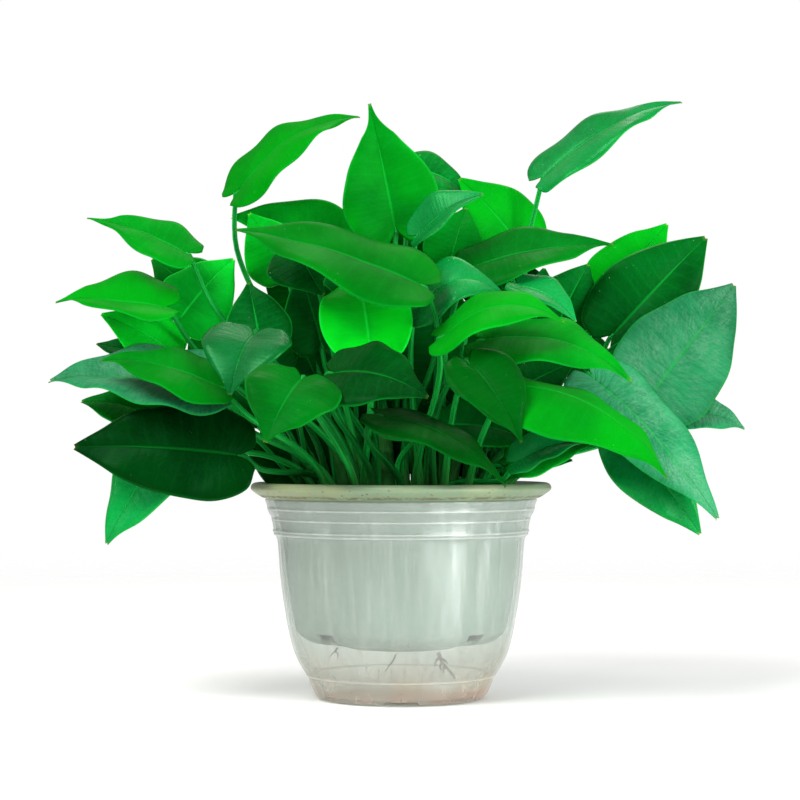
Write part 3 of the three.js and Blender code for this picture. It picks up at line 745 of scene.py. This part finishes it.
def leafFinish(name, tone, underside):
    f = Finish(name)
    across, along = f.mapped("leafMap")
    place, tint = f.place(), f.attribute("tint")
    side = (across - 0.5).size() * 2
    wander = f.grain(place, 60, 2) - 0.5
    stripe = (along * leafDetail["sideVeins"] + wander * 0.5).part()
    fromVein = (stripe - 0.5).size() * 2
    inVein = (1 - fromVein) ** 6 * (1 - side.over(0.7, 0.98)) * side.over(0.02, 0.12)
    inMidrib = 1 - side.over(0.008, 0.05)
    patches = f.grain(place, 24, 3, 0.55)
    fibres = f.grain(f.join(side * 3.0, along * 120, tint * 9), 1.0, 5, 0.65)
    rough, gloss = tone["rough"] + patches * 0.12, tone["gloss"]
    if underside:
        darker = tuple(c * 0.6 for c in tone["under"])
        colour = f.blend(patches.over(0.3, 0.7), tone["under"], darker)
        colour = f.blend((inMidrib * 0.4 + inVein * 0.14).clip(), colour, leafDetail["edge"])
        height = inMidrib + inVein * 0.3 + f.cells(place, 1500) * 0.06 + fibres * 0.05
        rough, gloss = rough + 0.2, gloss * 0.5
    else:
        waves = f.grain(f.join(side * 4.0, along * 46 - side * 9, tint * 9), 1.0, 4, 0.55, 0.6)
        mottle = f.grain(place, 600, 3, 0.7)
        # pale patches on the upper face: partly the leaf's bloom, partly painted sheen
        bloom = f.grain(place, 38, 6, 0.7).over(0.34, 0.68) * 0.7 + waves.over(0.42, 0.62) * 0.3
        bloom = bloom * (0.35 + 0.65 * mottle.over(0.36, 0.6)) * tone["bloom"]
        bloom = bloom * (1 - side.over(0.55, 1.0) * 0.8) * (0.4 + 0.6 * along.over(0.0, 0.3))
        shadeMap = patches.over(0.3, 0.7) * 0.8 + fibres.over(0.4, 0.7) * tone["ripple"] * 0.6
        # pale specks, more towards the margins and where the pale patches are stronger
        specks = (1 - f.cells(place, 300).over(0.06, 0.12)) * f.grain(place, 60, 3, 0.6).over(0.56, 0.64)
        specks = specks * (0.25 + 0.5 * side.over(0.2, 0.8)) * min(1, tone["bloom"] * 2.5)
        colour = f.blend(shadeMap.clip(), tone["light"], tone["dark"])
        colour = f.blend(bloom, colour, tone["haze"])
        colour = f.blend(specks, colour, leafDetail["dust"])
        # lighter side veins and midrib, and a lighter margin that is partly the leaf's own and partly a
        # painted highlight
        for amount in (inVein * 0.05, inMidrib * 0.35, side.over(0.93, 1.0) * 0.45):
            colour = f.blend(amount, colour, leafDetail["edge"])
        quilt = 1 - fromVein ** 2
        height = (quilt * 0.5 + waves * 0.5 - inVein * 0.3) * tone["ripple"] - inMidrib * 0.5 + mottle * 0.015
        rough = rough + bloom * 0.2
    colour = f.blend(along.over(0.955, 1.0) * 0.55, colour, leafDetail["tip"])
    colour = f.blend(1.0, colour, f.join(tint, tint, tint), "MULTIPLY")
    shade = f.shader({
        "Base Color": colour,
        "Roughness": rough,
        "Normal": f.bump(height, leafDetail["relief"]),
        "Specular IOR Level": gloss,
        "Specular Tint": leafDetail["glossTint"],
    })
    return f.finishWith(shade)


def stalkFinish(name, light, dark):
    f = Finish(name)
    place = f.place()
    turn, along = f.mapped("leafMap")
    grainy = f.grain(f.join(turn * 9, along * 2.5, 0.0), 1.0, 4)
    blotch = f.grain(place, 45, 3)
    colour = f.blend((grainy.over(0.35, 0.68) * 0.7 + blotch * 0.3).clip(), light, dark)
    colour = f.blend((1 - along.over(0.0, 0.22)) * 0.8, colour, leafDetail["stalkFoot"])
    tint = f.attribute("tint").least(leafDetail["stalkTint"])
    colour = f.blend(1.0, colour, f.join(tint, tint, tint), "MULTIPLY")
    shade = f.shader({
        "Base Color": colour,
        "Roughness": 0.36 + blotch * 0.2,
        "Normal": f.bump(grainy, 0.0006),
        "Specular IOR Level": 0.1,
        "Specular Tint": leafDetail["glossTint"],
    })
    return f.finishWith(shade)


upperFinishes = {name: leafFinish(name + "Upper", tone, False) for name, tone in leafTones.items()}
underFinishes = {name: leafFinish(name + "Under", tone, True) for name, tone in leafTones.items()}
stalkSkin = stalkFinish("stalkSkin", leafDetail["stalkLight"], leafDetail["stalkDark"])
vineSkin = stalkFinish("vineSkin", (0.03, 0.18, 0.03), (0.012, 0.08, 0.015))


# leaves

# shares are of the leaf's length
leafShape = {
    "rowsPerVein": 6,
    "columns": 29,
    "thickness": 0.5 * mm,
    "edge": 0.16 * mm,
    "keel": 1.0 * mm,
    "wave": 1.5 * mm,  # up and down along the margins, on a leaf of waveLength
    "waveLength": 80 * mm,
    "swell": 1.5 * mm,  # slow lumps over the whole blade
    "swellScale": 34,
    "roll": 1.4 * mm,  # margins turned under
    "groove": 0.5 * mm,  # along the midrib, on the upper face
    "uneven": 0.10,  # how differently the two halves fold
    "lobes": 0.02,  # share by which the lobes reach further back
    "dripTip": 0.12,  # how far the tip is drawn in
    "tipFrom": 0.76,  # share at which that starts
    "curl": 0.018,  # share by which the tip bends under
    "stalkSides": 12,
    "stalkThin": 0.86,  # thickness beside the one in CAD
    "sink": 0.6 * mm,  # how deep the stalk's end lies in the keel
}
# rows of a blade, from the notch to the tip: where each starts at the midrib and ends at the margin, as a
# share of the length, and how wide it is
bladeVeins = [
    (0, -0.13, 0.26), (0.04, -0.08, 0.7), (0.12, 0.1, 0.97), (0.24, 0.28, 1), (0.4, 0.47, 0.86),
    (0.58, 0.66, 0.6), (0.78, 0.84, 0.28),
]
# by leaf number: brightness beside the tone, which partly paints light onto leaves lying in shade and shade
# onto others, and tips that are drawn in more than dripTip says
leafTints = {
    "01": 0.75, "03": 2.0, "04": 1.1, "05": 0.85, "06": 0.9, "08": 0.7, "09": 1.8, "11": 1.2,
    "12": 3.3, "13": 0.95, "14": 2.6, "15": 0.8, "16": 0.9, "17": 0.34, "18": 1.4, "19": 1.4,
    "20": 0.45, "21": 0.72, "23": 2.5, "24": 0.6, "25": 0.36, "28": 0.4, "31": 1.05, "32": 0.8,
    "33": 0.9, "34": 1.2, "35": 0.6, "37": 1.4, "39": 0.8,
}
longTips = {
    "01": 0.3, "02": 0.5, "06": 0.42, "07": 0.42, "08": 0.3, "11": 0.6, "13": 0.6, "15": 0.3,
    "20": 0.3, "21": 0.3, "25": 0.4, "27": 0.3, "28": 0.4, "31": 0.3, "32": 0.3,
}


def weldedLinks(node):
    # the node's corner points, each once, and which are joined by an edge
    mesh = frame["nodes"][node].data
    seen, points, index = {}, [], []
    for corner in mesh.vertices:
        key = tuple(round(c * 1e6) for c in corner.co)
        if key not in seen:
            seen[key] = len(points)
            points.append(np.array(corner.co, dtype=float))
        index.append(seen[key])
    links = {k: set() for k in range(len(points))}
    for edge in mesh.edges:
        a, b = (index[k] for k in edge.vertices)
        if a != b:
            links[a].add(b)
            links[b].add(a)
    return points, links


def leafLevels(links):
    # rings of points by their steps from the leaf's tip, the only point that is joined to eight others
    tip = next(k for k in links if len(links[k]) == 8)
    levels, known, front = [], {tip}, [tip]
    while front:
        levels.append(front)
        front = sorted({n for k in front for n in links[k]} - known)
        known.update(front)
    return tip, levels


def walkRing(level, links):
    # the ring's points in the order in which they are joined
    inside = set(level)
    ring = [level[0]]
    while len(ring) < len(level):
        ahead = [n for n in links[ring[-1]] if n in inside and n not in ring]
        if not ahead:
            break
        ring.append(min(ahead))
    return ring


def readLeaf(node):
    # blade rows of five points each from the notch to the tip, the tip, the way the upper face looks,
    # and the stalk's middle line with its radii; every row comes from a ring of eight points
    points, links = weldedLinks(node)
    tip, levels = leafLevels(links)
    last = len(bladeVeins) + 1
    blade, stalk = levels[1:last][::-1], levels[last:][::-1]
    centre = np.mean([points[k] for k in stalk[-1]], axis=0)
    rows, previous, up = [], None, np.zeros(3)
    for level in blade:
        ring = walkRing(level, links)
        spans = [np.linalg.norm(points[ring[k]] - points[ring[k + 4]]) for k in range(4)]
        start = int(np.argmax(spans))
        if previous is not None and ring[start] not in links[previous[0]]:
            start += 4
        ring = ring[start:] + ring[:start]
        oneSide, otherSide = ring[1:4], [ring[7], ring[6], ring[5]]
        if previous is None:
            near = [np.linalg.norm(points[side[1]] - centre) for side in (oneSide, otherSide)]
            top = oneSide if near[0] > near[1] else otherSide
        else:
            top = oneSide if oneSide[1] in links[previous[2]] else otherSide
        up += points[top[1]] - points[(otherSide if top is oneSide else oneSide)[1]]
        previous = [ring[0], *top, ring[4]]
        rows.append([points[k] for k in previous])
    line = [np.mean([points[k] for k in level], axis=0) for level in stalk]
    radii = [np.mean([np.linalg.norm(points[k] - c) for k in level]) for level, c in zip(stalk, line)]
    return np.array(rows), np.array(points[tip]), up, np.array(line), np.array(radii)


def surfaceNormals(fine):
    normals = np.cross(np.gradient(fine, axis=1), np.gradient(fine, axis=0))
    return normals / (np.linalg.norm(normals, axis=2, keepdims=True) + 1e-12)


def bladeGrid(rows, tip, shares, dripTip):
    # fine grid over the blade, each half curved on its own so that the fold at the midrib stays
    ahead = rows[3][2] - rows[0][2]
    length = np.linalg.norm(tip - rows[0][2])
    rows = rows.copy()
    rows[0][[1, 3]] -= ahead / np.linalg.norm(ahead) * length * leafShape["lobes"]
    tipRow = np.repeat(tip[None, None], 5, axis=1)
    grid = curveThrough(np.concatenate([rows, tipRow]), leafShape["rowsPerVein"])
    grid[-1] = grid[-1] * 0.1 + grid[-2] * 0.9
    fine = np.zeros((len(grid), len(shares), 3))
    for k, share in enumerate(shares):
        edge, half = (0, 1) if share < 0 else (4, 3)
        a = abs(share)
        fine[:, k] = (grid[:, 2] * (1 - a) * (1 - 2 * a) + grid[:, half] * 4 * a * (1 - a)
                      + grid[:, edge] * a * (2 * a - 1))
    along = np.linspace(0, 1, len(grid))[:, None]
    late = np.clip((along - leafShape["tipFrom"]) / (1 - leafShape["tipFrom"]), 0, 1)
    midrib = fine[:, len(shares) // 2, None]
    fine = midrib + (fine - midrib) * (1 - dripTip * late)[..., None]
    return fine, midrib, along, late, length


def bladeLift(shares, along, late, length, out, rng):
    # how far each point of the grid is raised: waves, uneven halves, rolled margins, groove and curl
    fullTurn = 6.28
    side, left = np.abs(shares)[None], shares[None] < 0
    reach = np.minimum(1, (1 - along) * 4) * np.minimum(1, along * 5 + 0.3)
    phase, pace = rng.uniform(0, fullTurn, 2), rng.uniform(2.2, 3.6)
    wave = np.where(left, *(np.sin(pace * fullTurn * along + start) for start in phase))
    uneven = rng.uniform(-1, 1, 2) * leafShape["uneven"]
    lift = leafShape["wave"] * (length / leafShape["waveLength"]) * wave * side ** 2.5 * reach
    lift = lift + np.where(left, *uneven) * out * reach
    lift = lift - leafShape["roll"] * np.clip((side - 0.78) / 0.22, 0, 1) ** 2 * reach
    lift = lift - leafShape["groove"] * np.exp(-(side / 0.06) ** 2) * (1 - along)
    return lift - leafShape["curl"] * length * late ** 2


def bladeSurface(rows, tip, up, dripTip, rng):
    shares = np.linspace(-1, 1, leafShape["columns"])
    fine, midrib, along, late, length = bladeGrid(rows, tip, shares, dripTip)
    normals = surfaceNormals(fine)
    flip = normals[4:16, len(shares) // 2].mean(axis=0).dot(up) < 0
    upward = -normals if flip else normals
    out = np.linalg.norm(fine - midrib, axis=2)
    fine = fine + upward * bladeLift(shares, along, late, length, out, rng)[..., None]
    offset = Vector(rng.uniform(0, 9, 3))
    calm = np.minimum(1, along[:, 0] * 4) * np.minimum(1, (1 - along[:, 0]) * 6)
    for i, k in np.ndindex(fine.shape[:2]):
        swell = noise.noise(Vector(fine[i, k]) * leafShape["swellScale"] + offset) * leafShape["swell"]
        fine[i, k] += upward[i, k] * swell * calm[i]
    normals = surfaceNormals(fine)
    return fine, -normals if flip else normals, shares, along[:, 0], flip


def stalkTube(rows, normals, line, radii):
    # the stalk, with a sheath at its foot and a knee near its end, runs on into the keel under the blade
    notch = rows[0][2]
    joint = notch * 0.55 + line[-1] * 0.45
    end = notch * 0.86 + rows[1][2] * 0.14 - normals[2, normals.shape[1] // 2] * leafShape["sink"]
    path = curveThrough([*line, joint, end], 5)
    place = np.linspace(0, 1, len(path))
    thick = np.interp(place, np.linspace(0, 1, len(radii) + 2), [*radii, radii[-1], radii[-1] * 0.5])
    knee = 1 + 0.22 * np.exp(-((place - 0.86) / 0.06) ** 2)
    sheath = 1 + 0.35 * np.exp(-(place / 0.1) ** 2)
    firstAcross = np.cross(path[1] - path[0], notch - rows[3][2])
    radii = thick * knee * sheath * leafShape["stalkThin"]
    return tubeMesh(path, radii, leafShape["stalkSides"], firstAcross, 0.2)


def leafMesh(rows, tip, up, line, radii, dripTip, rng):
    # slots: 0 upper face and margin, 1 underside, 2 stalk
    fine, normals, shares, along, flip = bladeSurface(rows, tip, up, dripTip, rng)
    tall, wide = fine.shape[:2]
    side = np.abs(shares)[None]
    thick = leafShape["edge"] + (leafShape["thickness"] - leafShape["edge"]) * (1 - side ** 4)
    thick = thick + leafShape["keel"] * np.exp(-(side / 0.07) ** 2) * (1 - along[:, None] ** 2)
    lower = fine - normals * thick[..., None]
    points = [*fine.reshape(-1, 3), *lower.reshape(-1, 3)]
    maps = [((s + 1) / 2, a) for a in along for s in shares] * 2
    faces, slots = [], []
    shift = tall * wide
    for i, k in np.ndindex(tall - 1, wide - 1):
        corner = i * wide + k
        loop = (corner, corner + 1, corner + wide + 1, corner + wide)
        if flip:
            loop = loop[::-1]
        faces += [loop, tuple(c + shift for c in loop[::-1])]
        slots += [0, 1]
    border = [*range(wide)]
    border += [i * wide + wide - 1 for i in range(1, tall)]
    border += [(tall - 1) * wide + k for k in range(wide - 2, -1, -1)]
    border += [i * wide for i in range(tall - 2, 0, -1)]
    for a, b in zip(border, border[1:] + border[:1]):
        loop = (b, a, a + shift, b + shift)
        faces.append(loop[::-1] if flip else loop)
        slots.append(0)
    tube, sides, tubeMaps = stalkTube(rows, normals, line, radii)
    faces += [tuple(c + len(points) for c in face) for face in sides]
    slots += [2] * len(sides)
    return [*points, *tube], faces, slots, maps + tubeMaps


def addLeaf(name, mesh, tone, tint):
    points, faces, slots, maps = mesh
    finishes = [upperFinishes[tone], underFinishes[tone], stalkSkin]
    leaf = makePiece(name, points, faces, finishes, slots, maps, {"tint": tint})
    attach(leaf, "root")
    return leaf


def makeLeaves():
    for name in sorted(n for n in frame["nodes"] if n.startswith("leaf")):
        number = name[-2:]
        rng = np.random.default_rng(int(number) + 100)
        dripTip = longTips.get(number, leafShape["dripTip"])
        mesh = leafMesh(*readLeaf(name), dripTip, rng)
        tint = leafTints.get(number, 1.0) * rng.uniform(0.92, 1.08)
        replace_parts(addLeaf(name.replace("_", "Piece"), mesh, slotOf[name], tint), name)


makeLeaves()
print("leaves made")


# small leaves and young shoots that close the middle of the plant

smallLeaves = {
    # stalk end and tip in mm, width, the way the upper face looks, tone without "leaf_", brightness, which
    # partly paints light and shade
    "sideLow": ((-138, -25, 165), (-190, -25, 177), 40, (0, -0.7, 0.7), "middle", 1.2),
    "sideTip": ((-148, 2, 200), (-184, 0, 212), 26, (0, -0.7, 0.7), "deep", 1.0),
    "sideUpper": ((-135, 3, 197), (-200, 1, 191), 32, (0, -0.7, 0.7), "pale", 0.8),
    "sideInner": ((-70, -6, 196), (-104, -4, 214), 36, (0, -0.8, 0.6), "deep", 1.0),
    "sideUnder": ((-78, 5, 170), (-104, 5, 192), 32, (0, -0.9, 0.4), "deep", 1.0),
    "innerLeft": ((-50, 10, 188), (-63, 10, 216), 32, (0, -0.9, 0.4), "deep", 0.8),
    "crownLeft": ((-34, 36, 278), (-107, 36, 292), 38, (0, -0.95, 0.3), "fresh", 1.5),
    "crownRight": ((30, 18, 262), (40, 18, 296), 38, (0, -0.9, 0.4), "middle", 1.0),
    "middleHigh": ((-19, 20, 239), (-31, 20, 278), 56, (0, -0.9, 0.4), "deep", 0.8),
    "middleLow": ((2, 5, 183), (12, 5, 240), 46, (0, -0.9, 0.4), "deep", 0.7),
    "rightHigh": ((96, 10, 226), (114, 10, 261), 40, (0, -0.9, 0.4), "deep", 1.6),
    "rightUpper": ((82, 12, 224), (87, 12, 259), 30, (0, -0.9, 0.4), "deep", 1.4),
    "rightInner": ((59, -10, 177), (104, -10, 201), 44, (0.1, -0.9, 0.4), "deep", 0.8),
    "rightLow": ((66, -40, 142), (112, -42, 152), 32, (0, -0.8, 0.6), "middle", 1.6),
    "leftLow": ((-60, -10, 130), (-96, -10, 154), 30, (0, -0.9, 0.4), "deep", 0.8),
    "deepLeft": ((-50, 25, 130), (-66, 25, 172), 46, (0, -1, 0.2), "deep", 0.6),
    "deepMiddle": ((-22, 32, 138), (-30, 32, 188), 56, (0, -1, 0.2), "deep", 0.6),
    "deepCentre": ((-4, 38, 150), (-6, 38, 206), 46, (0, -1, 0.2), "deep", 0.6),
    "deepHigh": ((34, 36, 152), (38, 36, 208), 46, (0, -1, 0.2), "deep", 0.6),
    "midHigh": ((24, 14, 220), (26, 14, 258), 32, (0, -0.9, 0.4), "deep", 0.8),
    "deepRight": ((16, 32, 138), (20, 32, 188), 56, (0, -1, 0.2), "deep", 0.6),
    "deepSide": ((50, 24, 132), (62, 24, 174), 46, (0, -1, 0.2), "deep", 0.6),
    "rightUnder": ((62, -40, 139), (101, -41, 142), 20, (0, -0.8, 0.6), "deep", 1.4),
}
smallBlade = {"fold": 0.22, "cup": 0.4, "arch": 0.08}
smallStalk = {
    "footHeight": 115 * mm,
    "footReach": 52 * mm,  # the furthest from the pot's axis
    "inward": 0.75,  # the foot's distance as a share of the blade's
    "rise": 0.16,
    "under": 4 * mm,
    "thick": (2.0 * mm, 1.4 * mm),
}
shoots = {
    "count": 26,
    "foot": 115 * mm,
    "low": 150 * mm,  # heights of the lowest and the highest tip
    "high": 215 * mm,
    "leanFrom": 120 * mm,  # the height from which they lean out
    "bow": 12 * mm,
    "spread": 55 * mm,
    "turns": (-20, 200),  # degrees; most stand at the back
    "aside": 8 * mm,
    "thick": 1.7 * mm,
    "sides": 12,
    "groove": 0.25,
    "tints": (0.3, 0.8),
}


def smallLeafRows(base, tip, width, face):
    length = np.linalg.norm(tip - base)
    along = (tip - base) / length
    up = np.asarray(face, dtype=float)
    up = up - along * up.dot(along)
    up /= np.linalg.norm(up)
    across = np.cross(along, up)
    rows = []
    for start, end, reach in bladeVeins:
        row = []
        for share in (-1, -0.5, 0, 0.5, 1):
            s = start + (end - start) * abs(share)
            out = share * reach * width / 2
            bow = 4 * s * (1 - s) if s > 0 else 2 * s
            rise = smallBlade["fold"] * abs(out) - smallBlade["cup"] * out ** 2 / width
            lift = smallBlade["arch"] * length * bow + rise
            row.append(base + along * s * length + across * out + up * lift)
        rows.append(row)
    return np.array(rows), up


def makeSmallLeaves():
    for number, (name, (base, tip, width, face, tone, tint)) in enumerate(smallLeaves.items()):
        rng = np.random.default_rng(number + 300)
        base, tip = np.array(base) * mm, np.array(tip) * mm
        rows, up = smallLeafRows(base, tip, width * mm, face)
        reach = math.hypot(base[0], base[1])
        inward = min(smallStalk["inward"], smallStalk["footReach"] / reach)
        foot = np.array([*(base[:2] * inward), smallStalk["footHeight"]])
        under = base - up * smallStalk["under"]
        middle = foot * 0.5 + under * 0.5 + np.array([0, 0, smallStalk["rise"] * reach])
        line = curveThrough([foot, middle, under], 3)
        radii = np.linspace(*smallStalk["thick"], len(line))
        mesh = leafMesh(rows, tip, up, line, radii, 0.0, rng)
        addLeaf("smallLeaf." + name, mesh, "leaf_" + tone, tint)


def makeShoots(values):
    # thin stalks that each end in a rolled young leaf
    rng = random.Random(11)
    for number in range(values["count"]):
        turn = math.radians(rng.uniform(*values["turns"]))
        radius = values["spread"] * math.sqrt(rng.uniform(0.05, 1))
        foot = np.array([radius * math.cos(turn), radius * math.sin(turn), values["foot"]])
        top = rng.uniform(values["low"], values["high"])
        lean = 1 + (top - values["leanFrom"]) * rng.uniform(2, 6)
        aside = rng.uniform(-values["aside"], values["aside"])
        head = np.array([foot[0] * lean + aside, foot[1] * lean, top])
        bend = foot * 0.6 + head * 0.4 + np.array([0, 0, values["bow"]])
        path = curveThrough([foot, bend, head], 12)
        place = np.linspace(0, 1, len(path))
        rolled = np.exp(-((place - 0.82) / 0.11) ** 2)
        thick = values["thick"] * rng.uniform(0.75, 1.15)
        radii = thick * (1.15 - 0.4 * place + 0.9 * rolled) * np.sqrt(np.clip((1 - place) / 0.16, 0.01, 1))
        points, faces, maps = tubeMesh(path, radii, values["sides"], (1, 0, 0), values["groove"])
        tint = rng.uniform(*values["tints"])
        shoot = makePiece("shoot." + str(number + 1), points, faces, [stalkSkin], None, maps, {"tint": tint})
        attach(shoot, "root")


makeSmallLeaves()
makeShoots(shoots)
print("small leaves and shoots made")


# vine stems

stemLook = {
    "cadSides": 8,
    "radius": 3.7 * mm,
    "sides": 20,
    "groove": 0.06,
    "thin": 0.12,  # how much thinner the top is
    "swellings": (0.18, 0.44, 0.7),  # where the joints are, as shares of the length
    "swollen": 0.2,
}


def readStem(node):
    # the middle of every ring, from the bottom up
    points, _ = weldedLinks(node)
    points = np.array(sorted(points, key=lambda p: p[2]))
    return points.reshape(-1, stemLook["cadSides"], 3).mean(axis=1)


def makeStems(values):
    for name in sorted(n for n in frame["nodes"] if n.startswith("stem")):
        path = curveThrough(readStem(name), 4)
        place = np.linspace(0, 1, len(path))
        joints = sum(np.exp(-((place - at) / 0.035) ** 2) for at in values["swellings"])
        rounded = np.sqrt(np.clip((1.03 - place) / 0.1, 0.02, 1))
        radii = values["radius"] * (1 - values["thin"] * place + values["swollen"] * joints) * rounded
        points, faces, maps = tubeMesh(path, radii, values["sides"], (1, 0, 0), values["groove"])
        stem = makePiece(name.replace("_", "Piece"), points, faces, [vineSkin], None, maps, {"tint": 1.0})
        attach(stem, "root")
        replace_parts(stem, name)


makeStems(stemLook)
print("stems made")


# floor

floorLook = {
    "solid": 0.5,  # metres from the middle to where it starts to fade, and to where it is gone
    "gone": 1.6,
    "below": 0.6 * mm,
    "pale": (0.86, 0.86, 0.85),
    "paler": (0.90, 0.90, 0.89),
}


def makeFloor(values):
    f = Finish("paleFloor")
    place = f.place()
    x, y, _ = f.split(place)
    colour = f.blend(f.grain(place, 3, 3), values["pale"], values["paler"])
    far = ((x * x + y * y) ** 0.5).over(values["solid"], values["gone"])
    sheet = f.shader({"Base Color": colour, "Roughness": 0.7, "Specular IOR Level": 0.2})
    clear = f.add("BsdfTransparent", {}, {"Color": (1, 1, 1)})["BSDF"]
    finish = f.finishWith(f.add("MixShader", {}, {0: far, 1: sheet, 2: clear})["Shader"])
    wide = values["gone"]
    points = [(-wide, -wide, 0), (wide, -wide, 0), (wide, wide, 0), (-wide, wide, 0)]
    floor = makePiece("floor", points, [(0, 1, 2, 3)], [finish], smooth=False)
    floor.location.z = -values["below"]


makeFloor(floorLook)
print("floor made")
